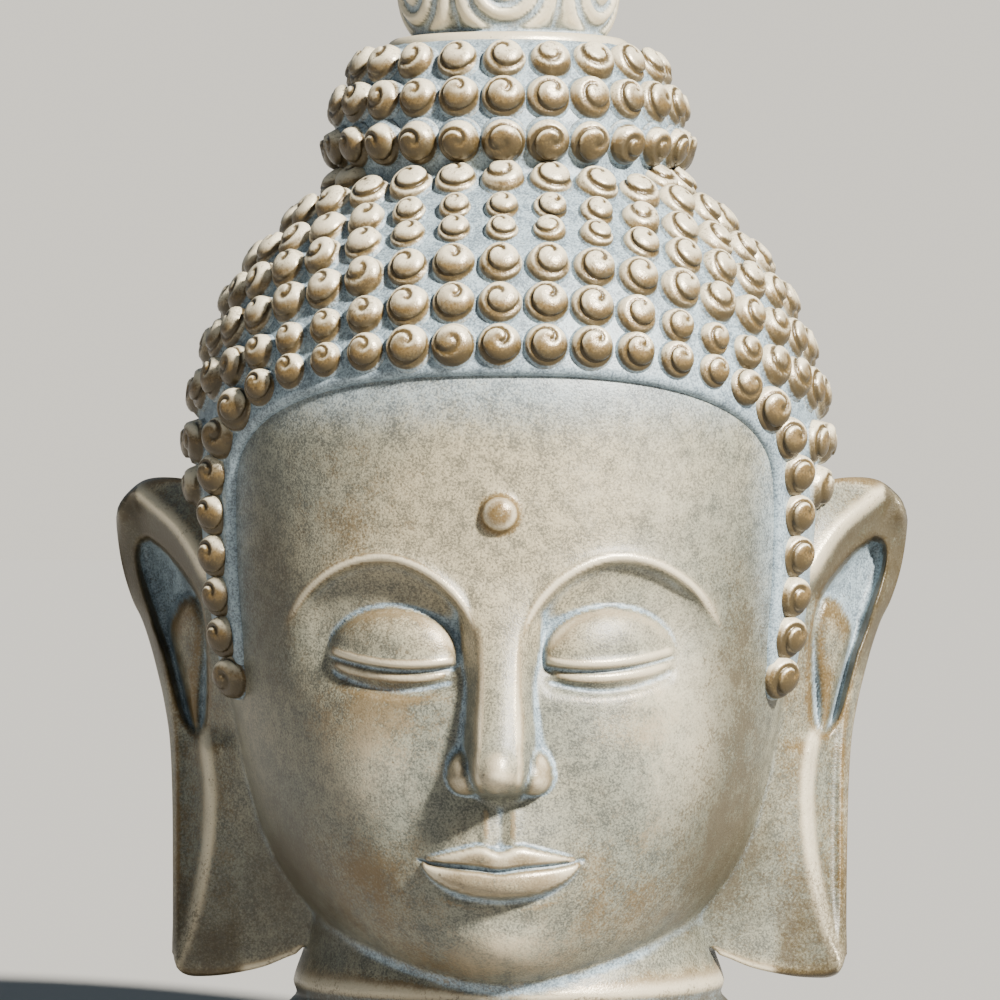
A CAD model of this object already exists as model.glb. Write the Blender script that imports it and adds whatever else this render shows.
"""A weathered cast stone buddha head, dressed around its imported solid.

Every size is in millimetres until a point is put on a mesh; the sizes in the panel are lengths in metres.
The face looks towards -Y.
Angles run round the head from the front, positive towards +X.
"""

import math

import bpy
import numpy as np
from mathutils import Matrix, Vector
from mathutils.kdtree import KDTree


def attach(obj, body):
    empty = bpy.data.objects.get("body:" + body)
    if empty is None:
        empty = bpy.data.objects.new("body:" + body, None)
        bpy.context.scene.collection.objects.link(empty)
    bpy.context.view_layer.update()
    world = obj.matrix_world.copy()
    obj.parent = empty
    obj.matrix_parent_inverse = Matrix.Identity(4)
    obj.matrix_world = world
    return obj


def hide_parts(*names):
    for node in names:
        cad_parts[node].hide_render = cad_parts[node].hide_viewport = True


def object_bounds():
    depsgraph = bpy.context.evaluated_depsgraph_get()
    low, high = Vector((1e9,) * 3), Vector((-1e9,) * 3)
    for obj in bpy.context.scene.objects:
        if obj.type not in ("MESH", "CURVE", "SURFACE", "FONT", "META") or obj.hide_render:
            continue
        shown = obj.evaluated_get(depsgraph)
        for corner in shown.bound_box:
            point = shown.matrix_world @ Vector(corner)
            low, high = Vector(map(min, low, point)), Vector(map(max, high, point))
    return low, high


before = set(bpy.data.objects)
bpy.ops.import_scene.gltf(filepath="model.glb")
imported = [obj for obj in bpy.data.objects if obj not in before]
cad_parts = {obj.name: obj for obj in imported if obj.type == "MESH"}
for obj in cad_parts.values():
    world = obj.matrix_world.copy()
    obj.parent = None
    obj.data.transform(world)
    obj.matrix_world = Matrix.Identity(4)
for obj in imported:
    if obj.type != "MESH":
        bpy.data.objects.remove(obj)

bl_info = {
    "name": "Cast Stone Buddha Head",
    "version": (1, 0, 0),
    "blender": (4, 5, 0),
    "location": "View3D > Sidebar > Buddha Head",
    "description": "Models the head, its hair of snail curls, its topknot bud and a plain studio",
    "category": "Object",
}

MM = 0.001
CAD_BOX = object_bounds()
CAD_TOP = CAD_BOX[1][2] / MM
CASTING = "buddha_head"

# ---------- levels and widths of the head ----------
PLATE_TOP = CAD_TOP - 78
HAIRLINE = 360
CHIN = 48
THIRD = (HAIRLINE - CHIN) / 3
NOSE_BASE = HAIRLINE - 2 * THIRD
MOUTH_LINE = NOSE_BASE - THIRD / 3
EYE_LINE = HAIRLINE - 1.36 * THIRD
FACE_WIDTH = 270
EYE_WIDTH = FACE_WIDTH / 5
MOUTH_HALF = 40
DOT_LEVEL = HAIRLINE - 0.65 * THIRD
EGG_CENTRE = 35
EGG_BOTTOM = 47
EGG_TOP = 470
EGG_WIDEST = 212
NECK_TOP = 150
NECK_SIDES = 120


# ---------- settings ----------
def a_length(name, description, default, low, high):
    return bpy.props.FloatProperty(
        name=name, description=description, default=default * MM, min=low * MM, max=high * MM, unit="LENGTH")


def a_strength(name, description, default):
    return bpy.props.FloatProperty(name=name, description=description, default=default, min=0)


def a_colour(name, description, default):
    return bpy.props.FloatVectorProperty(
        name=name, description=description, default=default, size=3, min=0, max=1, subtype="COLOR")


class HeadSizes(bpy.types.PropertyGroup):
    """Sizes that can change while the head stays inside its casting"""

    curl_radius: a_length("Curl Radius", "Half width of the largest curls", 10.5, 7, 10.5)
    curl_rise: a_length("Curl Rise", "How far the curls stand out from the scalp", 9, 5, 9)
    lip_radius: a_length("Hair Edge", "Rounding of the edge of the hair over the forehead", 4.5, 2, 6)
    ear_thickness: a_length("Ear Thickness", "Distance between the front and the back of an ear", 17, 10, 17)
    seam_reach: a_length("Seam Reach", "How far the joins of head, neck and ears are blended", 7, 2, 12)


class HeadColours(bpy.types.PropertyGroup):
    """Colours of the cast stone and of the paint that is left on it"""

    stone: a_colour("Stone", "Grey-green body of the casting", (0.120, 0.126, 0.102))
    sand: a_colour("Sand", "Warm beige of the flat places", (0.235, 0.208, 0.140))
    slate: a_colour("Slate", "Blue-grey wash in the hollows and on the scalp", (0.205, 0.270, 0.320))
    bronze: a_colour("Bronze", "Bronze paint brushed over the raised places", (0.122, 0.070, 0.017))
    olive: a_colour("Olive", "Brown-green stain low on the cheeks and ears", (0.036, 0.031, 0.013))
    umber: a_colour("Umber", "Freckles and dirt in the air holes", (0.040, 0.027, 0.011))
    cream: a_colour("Cream", "Pale paint worn bright on the crests", (0.780, 0.700, 0.520))


class StudioSettings(bpy.types.PropertyGroup):
    """Light and floor of the plain studio"""

    key_strength: a_strength("Key Strength", "Strength of the one warm light", 20)
    key_colour: a_colour("Key Colour", "Colour of the warm light", (1.0, 0.95, 0.86))
    air_strength: a_strength("Air Strength", "Strength of the light from all around", 0.25)
    air_colour: a_colour("Air Colour", "Colour of the light from all around", (0.72, 0.86, 1.0))
    floor_colour: a_colour("Floor Colour", "Colour of the pale floor", (0.290, 0.285, 0.275))


# ---------- curves ----------
def mix(a, b, t):
    return a + (b - a) * t


def bell(v, width):
    return np.exp(-(np.asarray(v) / width) ** 2)


def ramp(start, stop, v):
    t = np.clip((v - start) / (stop - start), 0, 1)
    return t * t * (3 - 2 * t)


def soft_max(a, b, blend):
    t = np.clip(0.5 + 0.5 * (a - b) / blend, 0, 1)
    return mix(b, a, t) + blend * t * (1 - t)


def cubic(a, b, slope_a, slope_b, t):
    u = 1 - t
    return a * (1 + 2 * t) * u * u + slope_a * t * u * u + b * t * t * (3 - 2 * t) - slope_b * t * t * u


def curve(knots):
    """A smooth value along knots (place, value), held level past both ends."""
    place, value = np.array(knots, float).T
    before = np.r_[0, 0:len(place) - 1]
    after = np.r_[1:len(place), len(place) - 1]
    slope = (value[after] - value[before]) / (place[after] - place[before])

    def at(v):
        v = np.asarray(v, float)
        i = np.clip(np.searchsorted(place, v) - 1, 0, len(place) - 2)
        span = place[i + 1] - place[i]
        t = np.clip((v - place[i]) / span, 0, 1)
        return cubic(value[i], value[i + 1], slope[i] * span, slope[i + 1] * span, t)

    return at


def smooth_line(points, steps=6):
    """A smooth line through points, as short straight steps."""
    p = np.array(points, float)
    padded = np.vstack([p[:1], p, p[-1:]])
    slope = (padded[2:] - padded[:-2]) / 2
    t = (np.arange(steps) / steps)[:, None]
    pieces = [cubic(p[i], p[i + 1], slope[i], slope[i + 1], t) for i in range(len(p) - 1)]
    return np.vstack(pieces + [p[-1:]])


def beside_line(x, z, line):
    """Distance to a line, positive on its right hand, and the share of the line passed."""
    best = np.full(np.shape(x), 1e9)
    side = np.ones(np.shape(x))
    share = np.zeros(np.shape(x))
    for i, (start, stop) in enumerate(zip(line[:-1], line[1:])):
        along = stop - start
        t = np.clip(((x - start[0]) * along[0] + (z - start[1]) * along[1]) / (along @ along), 0, 1)
        away = np.hypot(x - start[0] - t * along[0], z - start[1] - t * along[1])
        turn = np.where(along[1] * (x - start[0]) - along[0] * (z - start[1]) < 0, -1, 1)
        near = away < best
        best = np.where(near, away, best)
        side = np.where(near, turn, side)
        share = np.where(near, (i + t) / (len(line) - 1), share)
    return best * side, share


def graded(start, stop, spacing):
    """Places from start to stop, as far apart as spacing says at each."""
    fine = np.linspace(start, stop, 4001)
    middle = (fine[1:] + fine[:-1]) / 2
    passed = np.r_[0, np.cumsum(abs(np.diff(fine)) / spacing(middle))]
    count = round(passed[-1])
    return np.interp(np.linspace(0, passed[-1], count + 1), passed, fine)


# ---------- mesh helpers ----------
def only(obj):
    bpy.ops.object.select_all(action="DESELECT")
    obj.select_set(True)
    bpy.context.view_layer.objects.active = obj


def take_points(obj):
    flat = np.empty(3 * len(obj.data.vertices), np.float32)
    obj.data.vertices.foreach_get("co", flat)
    return flat.reshape(-1, 3).astype(float) / MM


def put_points(obj, points):
    obj.data.vertices.foreach_set("co", (points * MM).astype(np.float32).ravel())
    obj.data.update()


def take_normals(obj):
    flat = np.empty(3 * len(obj.data.vertices), np.float32)
    obj.data.vertices.foreach_get("normal", flat)
    return flat.reshape(-1, 3).astype(float)


def take_edges(obj):
    flat = np.empty(2 * len(obj.data.edges), np.int32)
    obj.data.edges.foreach_get("vertices", flat)
    return flat.reshape(-1, 2)


def new_ball(name, columns, rows):
    """A ball, with the column and the row of each point counted from the front and from the top."""
    bpy.ops.object.select_all(action="DESELECT")
    bpy.ops.mesh.primitive_uv_sphere_add(segments=columns, ring_count=rows, radius=1)
    ball = bpy.context.object
    ball.name = ball.data.name = name
    x, y, z = take_points(ball).T * MM
    column = np.rint(np.arctan2(x, -y) * columns / (2 * math.pi)).astype(int) % columns
    row = np.rint(np.arccos(np.clip(z, -1, 1)) * rows / math.pi).astype(int)
    return ball, column, row


def unite(base, others):
    """Joins the other pieces to the base as one closed skin."""
    for other in others:
        union = base.modifiers.new("union", "BOOLEAN")
        union.operation = "UNION"
        union.solver = "MANIFOLD"
        union.object = other
        only(base)
        bpy.ops.object.modifier_apply(modifier=union.name)
        bpy.data.objects.remove(other)
    if not base.data.polygons:
        raise RuntimeError(f"{base.name}: the union left no faces")


def mark_part(obj, number):
    """Numbers the faces of a piece, so that its seams can be found once it is joined."""
    part = obj.data.attributes.new("part", "INT", "FACE")
    part.data.foreach_set("value", np.full(len(obj.data.polygons), number, np.int32))


def spread(values, edges, weight, turns):
    """Values passed along the edges again and again, as a slow blur."""
    total = np.bincount(edges.ravel(), np.repeat(weight, 2), len(values))
    for _ in range(turns):
        moved = np.empty_like(values)
        for axis in range(values.shape[1]):
            near = values[edges[:, ::-1].ravel(), axis] * np.repeat(weight, 2)
            moved[:, axis] = np.bincount(edges.ravel(), near, len(values))
        values = 0.4 * values + 0.6 * moved / total[:, None]
    return values


def soften_seams(obj, reach, turns):
    """Blends the surface where its joined parts meet, out to a reach on both sides."""
    mesh = obj.data
    loops = np.empty(len(mesh.loops), np.int32)
    mesh.loops.foreach_get("vertex_index", loops)
    counts = np.empty(len(mesh.polygons), np.int32)
    mesh.polygons.foreach_get("loop_total", counts)
    part = np.empty(len(mesh.polygons), np.int32)
    mesh.attributes["part"].data.foreach_get("value", part)
    worn = np.repeat(part, counts)
    low = np.full(len(mesh.vertices), 99)
    high = np.full(len(mesh.vertices), -1)
    np.minimum.at(low, loops, worn)
    np.maximum.at(high, loops, worn)
    seam = np.flatnonzero(low != high)
    points = take_points(obj)
    tree = KDTree(len(seam))
    for i in seam:
        tree.insert(points[i], int(i))
    tree.balance()
    away = np.array([tree.find(p)[2] for p in points])
    hold = ramp(reach, 0, away)[:, None]
    edges = take_edges(obj)
    weight = np.ones(len(edges))
    for _ in range(turns):
        points = mix(points, spread(points, edges, weight, 1), hold)
    put_points(obj, points)


def finish_piece(obj, material):
    """One material, smooth shading, and its place in the frame."""
    obj.data.materials.clear()
    obj.data.materials.append(material)
    only(obj)
    bpy.ops.object.shade_smooth()
    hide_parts(CASTING)
    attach(obj, "root")


# ---------- the scalp ----------
SCALP_PROFILE = smooth_line([
    (0, 534), (30, 534), (60, 534), (70, 528), (83, 508), (89, 487), (87, 473), (86, 464), (92, 458.5),
    (105, 447), (117, 434), (132, 418), (148.5, 387), (158, 358), (161.5, 330), (160, 300), (157, 260),
    (150, 215), (139, 175), (130, 150), (105, 130), (55, 120), (0, 118),
], 8)
back_bulge = curve([
    (120, 0), (150, 6), (200, 16), (250, 18), (330, 14), (372, 11), (430, 2), (450, 0), (534, 0),
])
front_trim = curve([(200, 0), (330, 6), (360, 3), (390, 0), (534, 0)])

SCALP_RADIUS, SCALP_LEVEL = SCALP_PROFILE.T
SCALP_DOWN = np.r_[0, np.cumsum(np.hypot(np.diff(SCALP_RADIUS), np.diff(SCALP_LEVEL)))]


def down_at(z):
    """How far down the skin from the crown a level is."""
    return np.interp(-np.asarray(z, float), -SCALP_LEVEL, SCALP_DOWN)


def level_at(down):
    return np.interp(down, SCALP_DOWN, SCALP_LEVEL)


def half_width_at(z):
    return np.interp(down_at(z), SCALP_DOWN, SCALP_RADIUS)


def scalp_point(angle, down):
    radius = np.interp(down, SCALP_DOWN, SCALP_RADIUS)
    z = level_at(down)
    forward = np.cos(angle)
    front = np.maximum(radius - front_trim(z), 0)
    back = radius + back_bulge(z) * np.minimum(1, radius / 60)
    reach = np.where(forward > 0, front, back)
    return np.stack([radius * np.sin(angle), -reach * forward, z + 0 * angle], -1)


def unit(v):
    return v / np.linalg.norm(v, axis=-1, keepdims=True)


def scalp_frame(angle, down):
    """Sideways, downwards and outward directions of the scalp."""
    sideways = unit(scalp_point(angle + 0.01, down) - scalp_point(angle - 0.01, down))
    downwards = unit(scalp_point(angle, down + 1.5) - scalp_point(angle, down - 1.5))
    outward = unit(np.cross(downwards, sideways))
    return sideways, np.cross(sideways, outward), outward


# ---------- where the hair ends ----------
ARCH_HALF_WIDTH = 140
ARCH_RISE = 61
ARCH_FOOT = 300
ARCH_POWER = 2.7
SIDEBURN_FOOT = 203
NAPE = 152
SKULL_RADIUS = 152
EDGE_SPACING = 3
EDGE_SMOOTHING = 14
SIDEBURN_FRONT = [(140, 278), (139, 255), (137, 232), (135, 212)]
NECK_LINE = [(68, SIDEBURN_FOOT), (80, SIDEBURN_FOOT), (92, 200), (102, 186), (112, 164), (124, NAPE + 2),
             (142, NAPE), (161, NAPE), (180, NAPE)]


def both_sides_of(line, lap):
    """For each point of a line that closes round the head, the next point and the one before."""
    return np.vstack([line[1:], line[:1] + lap]), np.vstack([line[-1:] - lap, line[:-1]])


def hair_edge():
    """The edge of the hair, from the front round to the back and on, and the way that leads in from it.

    Both are given as (angle, down), at evenly spaced places.
    """
    turn = np.linspace(0, math.pi / 2, 40)
    x = ARCH_HALF_WIDTH * np.sin(turn) ** (2 / ARCH_POWER)
    z = ARCH_FOOT + ARCH_RISE * np.clip(np.cos(turn), 0, 1) ** (2 / ARCH_POWER)
    x, z = np.vstack([np.stack([x, z], -1), SIDEBURN_FRONT]).T
    edge = np.stack([np.arcsin(x / half_width_at(z)), z], -1)
    edge = np.vstack([edge, [(math.radians(degrees), level) for degrees, level in NECK_LINE]])
    flat = np.stack([edge[:, 0] * SKULL_RADIUS, down_at(edge[:, 1])], -1)
    mirrored = np.vstack([flat[::-1] * [-1, 1], flat[1:]])
    passed = np.r_[0, np.cumsum(np.linalg.norm(np.diff(mirrored, axis=0), axis=1))]
    count = 2 * round(passed[-1] / EDGE_SPACING / 2)
    even = np.linspace(0, passed[-1], count + 1)
    line = np.stack([np.interp(even, passed, mirrored[:, k]) for k in (0, 1)], -1)[:-1]
    lap = np.array([2 * math.pi * SKULL_RADIUS, 0])
    for _ in range(EDGE_SMOOTHING):
        ahead, behind = both_sides_of(line, lap)
        line = (ahead + behind + 2 * line) / 4
    ahead, behind = both_sides_of(line, lap)
    along = unit(ahead - behind)
    inward = np.stack([along[:, 1], -along[:, 0]], -1)
    start = count // 2
    turned = np.r_[start:count, 0:start]
    shift = np.where(turned < start, 1, 0)[:, None] * lap
    return (line[turned] + shift) / [SKULL_RADIUS, 1], inward[turned] / [SKULL_RADIUS, 1]


# ---------- curl places ----------
# Each ring: height at the front, how far it sinks at the sides and back, and the step from curl to curl.
CURL_RINGS = [
    (521, 0, 23.9), (502, 0, 22.1), (480, 0, 22.1), (459.5, 18, 23.8), (444.7, 23, 24.1), (433, 33, 23.9),
    (415.5, 39, 23.4), (396, 44, 22.7),
]
WAIST_LEVEL = 461
WAIST_START = 62
TEMPLE_TOP = 329
BACK_STEP = 23.3
BACK_ROW_STARTS = [75, 76, 101, 101, 103, 106, 116, 128]
EDGE_CURL_INSET = 15
EDGE_CURL_STEP = 21
FRONT_EDGE_CURL_STEP = 23
ROW_HANGS_BELOW = 235
LAST_CURL_ABOVE = 6
FRONT_REACH = 78


def ring_places(start, level, step, shift=0):
    """Places along a level that sinks round the head, evenly spaced from a start angle to the back."""
    walk = np.linspace(start, math.pi, 121)
    points = scalp_point(walk, down_at(level(walk)))
    passed = np.r_[0, np.cumsum(np.linalg.norm(np.diff(points, axis=0), axis=1))]
    steps = max(math.floor(2 * passed[-1] / step + 0.5) / 2, 1)
    right = np.interp(passed[-1] * np.arange(shift, steps + 0.01) / steps, passed, walk)
    left = -right[(right > 1e-6) & (right < math.pi - 1e-6)]
    angle = np.r_[right, left]
    return np.stack([angle, level(abs(angle))], -1)


def edge_curl_step(way):
    """The curls over the forehead stand a little further apart than those down at the ears."""
    return mix(FRONT_EDGE_CURL_STEP, EDGE_CURL_STEP, ramp(120, 200, way))


def edge_places():
    """The first row follows the edge of the hair, a little inside it, and hangs down before the ear."""
    edge, inward = hair_edge()
    path = (edge + EDGE_CURL_INSET * inward)[:np.argmax(level_at(edge[:, 1]) < ROW_HANGS_BELOW)]
    path = np.vstack([path, [path[-1, 0], down_at(SIDEBURN_FOOT)]])
    fine = np.linspace(0, len(path) - 1, 800)
    angle, down = (np.interp(fine, np.arange(len(path)), path[:, k]) for k in (0, 1))
    passed = np.r_[0, np.cumsum(np.linalg.norm(np.diff(scalp_point(angle, down), axis=0), axis=1))]
    stops = graded(0, passed[-1] - LAST_CURL_ABOVE, edge_curl_step)
    right = np.stack([np.interp(stops, passed, angle), level_at(np.interp(stops, passed, down))], -1)
    return np.vstack([right, right[1:] * [-1, 1]])


def curl_places(largest):
    """Angle, way down the skin, radius and middle of every curl, and which of them line the edge."""
    rows = [edge_places()]
    for z, sink, step in CURL_RINGS:
        rows.append(ring_places(0, lambda a: z - sink * ramp(math.radians(8), math.radians(92), a), step))
    rows.append(ring_places(math.radians(WAIST_START), lambda a: WAIST_LEVEL + 0 * a, BACK_STEP))
    for row, degrees in enumerate(BACK_ROW_STARTS):
        z = TEMPLE_TOP - BACK_STEP * row
        rows.append(ring_places(math.radians(degrees), lambda a: z + 0 * a, BACK_STEP, 0.5 * (row % 2)))
    angle, level = np.vstack(rows).T
    down = down_at(level)
    middle = scalp_point(angle, down)
    apart = np.linalg.norm(middle[:, None] - middle[None], axis=-1)
    np.fill_diagonal(apart, 1e9)
    radius = np.minimum(largest, 0.5 * apart.min(axis=1))
    lines_edge = np.arange(len(angle)) < len(rows[0])
    return angle, down, radius, middle, lines_edge


# ---------- the face ----------
BROW_LINE = smooth_line([
    (8.5, NOSE_BASE + 40), (9, NOSE_BASE + 62), (11.5, NOSE_BASE + 78), (18, NOSE_BASE + 93),
    (30, NOSE_BASE + 106), (46, NOSE_BASE + 115), (62, NOSE_BASE + 117.5), (80, NOSE_BASE + 113),
    (97, NOSE_BASE + 101), (108, NOSE_BASE + 85), (112, NOSE_BASE + 74),
])


def brow_and_socket(x, z):
    """The ridge of the brow and the hollow that it shades, down beside the nose."""
    away, share = beside_line(x, z, BROW_LINE)
    fade = ramp(1, 0.72, share) * ramp(0, 0.14, share)
    ridge = 2 * bell(away + 1.2, 2.8) * fade
    roll = 1.8 * bell(away, np.where(away > 0, 2.8, 9)) * fade
    hollow = 9 * (1 - np.exp(-np.maximum(away, 0) / 5.5)) * ramp(196, 240, z) * ramp(114, 84, x)
    inner = 5 * bell(x - 22, 13) * bell(z - 232, 17) * ramp(-0.5, 4.5, away)
    return ridge + roll - hollow - inner


def across_eye(x):
    """-1 at the inner corner of the eye and 1 at the outer one."""
    return (x - EYE_WIDTH) / (EYE_WIDTH / 2 + 3)


def lid_line(x):
    """Height of the closed slit between the lids."""
    u = across_eye(x)
    return EYE_LINE - 3.5 * (1 - u * u) + 2.2 * np.clip(u, -1, 1.3)


def lids(x, z, skin):
    """The ball of the eye under its closed lids, laid over the skin."""
    u = across_eye(x)
    height = z - EYE_LINE - 2
    q = ((x - EYE_WIDTH - 0.5) / 33) ** 2 + (height / np.where(height > 0, 25.5, 21)) ** 2
    ball = np.where(q < 1, 15 * np.sqrt(np.clip(1 - q, 0, 1)) - 8.5, -8.5 - 30 * (q - 1))
    above = z - lid_line(x)
    within = ramp(1.14, 0.92, abs(u))
    upper = 1.7 * bell(above - 3.4, 2.2) - 2.6 * bell(above + 0.2, 1.3)
    lower = 1.5 * bell(above + 4.6, 2.6) - 1.1 * bell(above + 10.5 - 3 * u * u, 2.2)
    step = -2 * ramp(1.5, -1.5, above) * ramp(-16, -7, above)
    return soft_max(skin, ball, 2.4) + (upper + lower + step) * within


nose_rise = curve([(NOSE_BASE + level, rise) for level, rise in [
    (-14, -10), (-5, -1), (1, 8), (4, 22), (9, 32.5), (16, 34.5), (26, 31.5), (44, 24), (62, 16.5), (78, 10),
    (92, 5.2), (104, 1.6), (116, -4), (135, -12)]])
nose_top = curve([(NOSE_BASE + level, half) for level, half in [
    (-6, 3), (6, 7.5), (14, 9), (26, 8.2), (60, 7.4), (80, 8.2), (96, 11), (122, 17)]])
nose_foot = curve([(NOSE_BASE + level, half) for level, half in [
    (-6, 12), (6, 19), (16, 21.5), (30, 21), (60, 18.5), (80, 19), (96, 21), (122, 28)]])


def dome(a, b, half_a, half_b, rise):
    q = (a / half_a) ** 2 + (b / half_b) ** 2
    return np.where(q < 1, rise * np.sqrt(np.clip(1 - q, 0, 1)), -rise * np.clip(q - 1, 0, 4))


def nose(x, z):
    """Bridge, tip and wings."""
    top, foot = nose_top(z), nose_foot(z)
    v = np.clip((x - top) / (foot - top), 0, 1)
    flank = np.where(x < top, 1 - 0.06 * (x / top) ** 2, 0.94 * (1 - v * v * (1.9 - 0.9 * v)))
    bridge = (nose_rise(z) + 4) * flank - 4 - 40 * np.maximum((x - foot) / (foot - top), 0)
    tip_level = z - NOSE_BASE - 13.5
    wing_level = z - NOSE_BASE - 10.5
    tip = dome(x, tip_level, 15.5, np.where(tip_level < 0, 12.5, 21), 37.5)
    wing = dome(x - 16.6, wing_level, 10.2, np.where(wing_level < 0, 9.5, 14), 20.5)
    return soft_max(soft_max(bridge, tip, 4), wing, 2.6)


def seam_line(x):
    """Height of the seam between the lips."""
    u = np.clip(x / MOUTH_HALF, 0, 1.4)
    return MOUTH_LINE + 3.2 * u ** 2.2 - 1.3 * bell(u, 0.22)


def mouth(x, z):
    """Both lips with their seam, the swell that carries them and the trough above."""
    u = np.clip(x / MOUTH_HALF, 0, 1.4)
    seam_level = seam_line(x)
    bow = (MOUTH_LINE + 10.6 - 2.6 * bell(u, 0.16) - 7.9 * np.minimum(u, 1) ** 1.9
           + 0.8 * bell(u - 0.26, 0.16))
    top = np.maximum(bow, seam_level + 0.2)
    bottom = MOUTH_LINE - 15.2 * np.clip(1 - (u / 0.98) ** 2.6, 0, 1) ** 0.62 + 2 * u
    within = ramp(1.02, 0.93, u)
    muzzle = 7.5 * bell(np.hypot(x / 46, (z - MOUTH_LINE) / 34), 0.8)
    v = np.clip((z - seam_level) / np.maximum(top - seam_level, 0.8), 0, 1)
    upper = 2.6 + 4 * np.sin(math.pi * v * 0.62 + 0.35)
    upper = upper * ramp(1.4, -0.8, z - top) * (1 - 0.55 * u * u)
    w = np.clip((seam_level - z) / np.maximum(seam_level - bottom, 0.8), 0, 1)
    lower = 1.8 + 6 * np.sin(math.pi * (0.12 + 0.72 * w))
    lower = lower * ramp(1.4, -1.2, bottom - z) * (1 - 0.45 * u * u)
    above = z > seam_level
    seam = -3.2 * bell(z - seam_level, 1.35) * ramp(1.08, 0.96, u)
    under = np.where(above, 0, -3.6 * bell(bottom - z - 2.6, 3.4) * ramp(1, 0.45, u))
    trough = (bell(x - 7, 2.8) - 1.9 * bell(x, 3.4)) * ramp(NOSE_BASE - 1, NOSE_BASE - 8, z)
    return (muzzle + np.where(above, upper, lower) * within + seam + under
            + trough * ramp(top - 1.5, top + 2.5, z))


def face_relief(side, z):
    """How far the face stands out from the plain egg."""
    x = abs(side)
    cheek = (6.5 * bell(np.hypot((x - 66) / 34, (z - 168) / 40), 1)
             - 2.2 * bell(np.hypot((x - 44) / 12, (z - 138) / 22), 1))
    chin = (6.5 * bell(np.hypot(x / 27, (z - 72) / 17), 0.9)
            - 2.8 * bell(np.hypot(x / 30, (z - 93) / 8), 0.9))
    flesh = lids(x, z, brow_and_socket(x, z) + cheek)
    return soft_max(flesh, nose(x, z) - 1.1, 3) + mouth(x, z) + chin


# ---------- the egg that carries the face ----------
head_half_width = curve([(40, 139), (120, 139), (170, 140.5), (215, 146.5), (260, 152.5), (300, 155.5),
                         (330, 157), (360, 153), (400, 138), (440, 100), (470, 72), (500, 70)])
head_front = curve([(40, 146), (120, 146), (200, 146.5), (250, 149.5), (300, 151.5), (340, 151.5),
                    (365, 148), (400, 134), (440, 100), (470, 72), (500, 70)])
head_back = curve([(40, 117), (110, 112), (150, 122), (200, 160), (250, 166), (300, 168), (365, 158),
                   (400, 134), (440, 100), (470, 72), (500, 70)])


def egg_drop(z):
    """0 down to where the head is widest and 1 at its lowest point."""
    return np.clip((EGG_WIDEST - z) / (EGG_WIDEST - EGG_BOTTOM), 0, 1)


def head_point(angle, z):
    """Points of the head with its face, before the ears, the neck and the dot join it."""
    drop = egg_drop(z)
    half_width = np.maximum(head_half_width(z) * (1 - drop ** 2.5) ** (1 / 2.2), 2)
    x = half_width * np.sin(angle)
    forward = np.cos(angle)
    back = mix(-EGG_CENTRE, head_back(z), (1 - drop ** 3) ** 0.5)
    front = mix(EGG_CENTRE, head_front(z), (1 - drop ** 4) ** (1 / 3))
    relief = face_relief(x, z) * ramp(0.05, 0.45, forward)
    y = np.where(forward <= 0, -back * forward, -front * forward - relief)
    return np.stack([x, y, z], -1)


def follow_features(angle, level):
    """Rows bend to run along the closed lids and the seam of the lips."""
    x = abs(head_half_width(level) * np.sin(angle))
    lid = (lid_line(x) - EYE_LINE) * bell(level - EYE_LINE, 16) * ramp(96, 84, x) * ramp(12, 24, x)
    seam = (seam_line(x) - MOUTH_LINE) * bell(level - MOUTH_LINE, 12) * ramp(62, 44, x)
    return level + np.where(np.cos(angle) < 0, 0, lid + seam)


# Points stand closest where the lids, the nose and the lips need them.
row_spacing = curve([
    (47, 2.6), (90, 2.2), (100, 1.25), (132, 1.25), (142, 1.6), (149, 0.85), (166, 0.95), (175, 1.5),
    (190, 2.3), (204, 1.35), (245, 1.25), (274, 1.5), (292, 2.8), (350, 3.6), (372, 8), (470, 16),
])
column_spacing = curve([
    (0, 1.2), (12, 1.25), (38, 1.5), (50, 2.2), (65, 3.2), (90, 5), (120, 9), (180, 12),
])
FACE_RADIUS = 150


def egg_piece():
    """The head with its face, closed at the top under the scalp and at the bottom in the neck."""
    levels = graded(EGG_TOP, EGG_BOTTOM, row_spacing)
    half = graded(0, 180, lambda degrees: np.degrees(column_spacing(degrees) / FACE_RADIUS))
    angles = np.radians(np.r_[half, -half[-2:0:-1]])
    egg, column, row = new_ball("head", len(angles), len(levels) - 1)
    angle = angles[column]
    points = head_point(angle, follow_features(angle, levels[row]))
    points[row == 0] = (0, 0, EGG_TOP)
    points[row == row.max()] = (0, -EGG_CENTRE, EGG_BOTTOM)
    put_points(egg, points)
    return egg


DOT_SIDES = 40
DOT_ROWS = 20
DOT_PROFILE = smooth_line([
    (0, 7.6), (4, 6.9), (7.6, 4.6), (9.6, 1.6), (10.8, -0.6), (11.6, -6), (8, -12), (0, -12),
], 4)


def dot_piece():
    """The round dot on the forehead."""
    dot, column, row = new_ball("forehead_dot", DOT_SIDES, DOT_ROWS)
    share = np.linspace(0, len(DOT_PROFILE) - 1, row.max() + 1)[row]
    radius, rise = (np.interp(share, range(len(DOT_PROFILE)), DOT_PROFILE[:, k]) for k in (0, 1))
    turn = column * 2 * math.pi / DOT_SIDES
    face = head_point(np.zeros(1), np.array([DOT_LEVEL]))[0]
    points = np.stack([radius * np.sin(turn), face[1] - rise, DOT_LEVEL - radius * np.cos(turn)], -1)
    put_points(dot, points)
    return dot


neck_radius = curve([
    (0, 109), (5, 113.5), (25, 118), (37, 115.5), (43, 110.5), (50, 112), (70, 106), (120, 102),
    (NECK_TOP, 90),
])
NECK_BACK = 5
NECK_FLATNESS = 0.95


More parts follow.
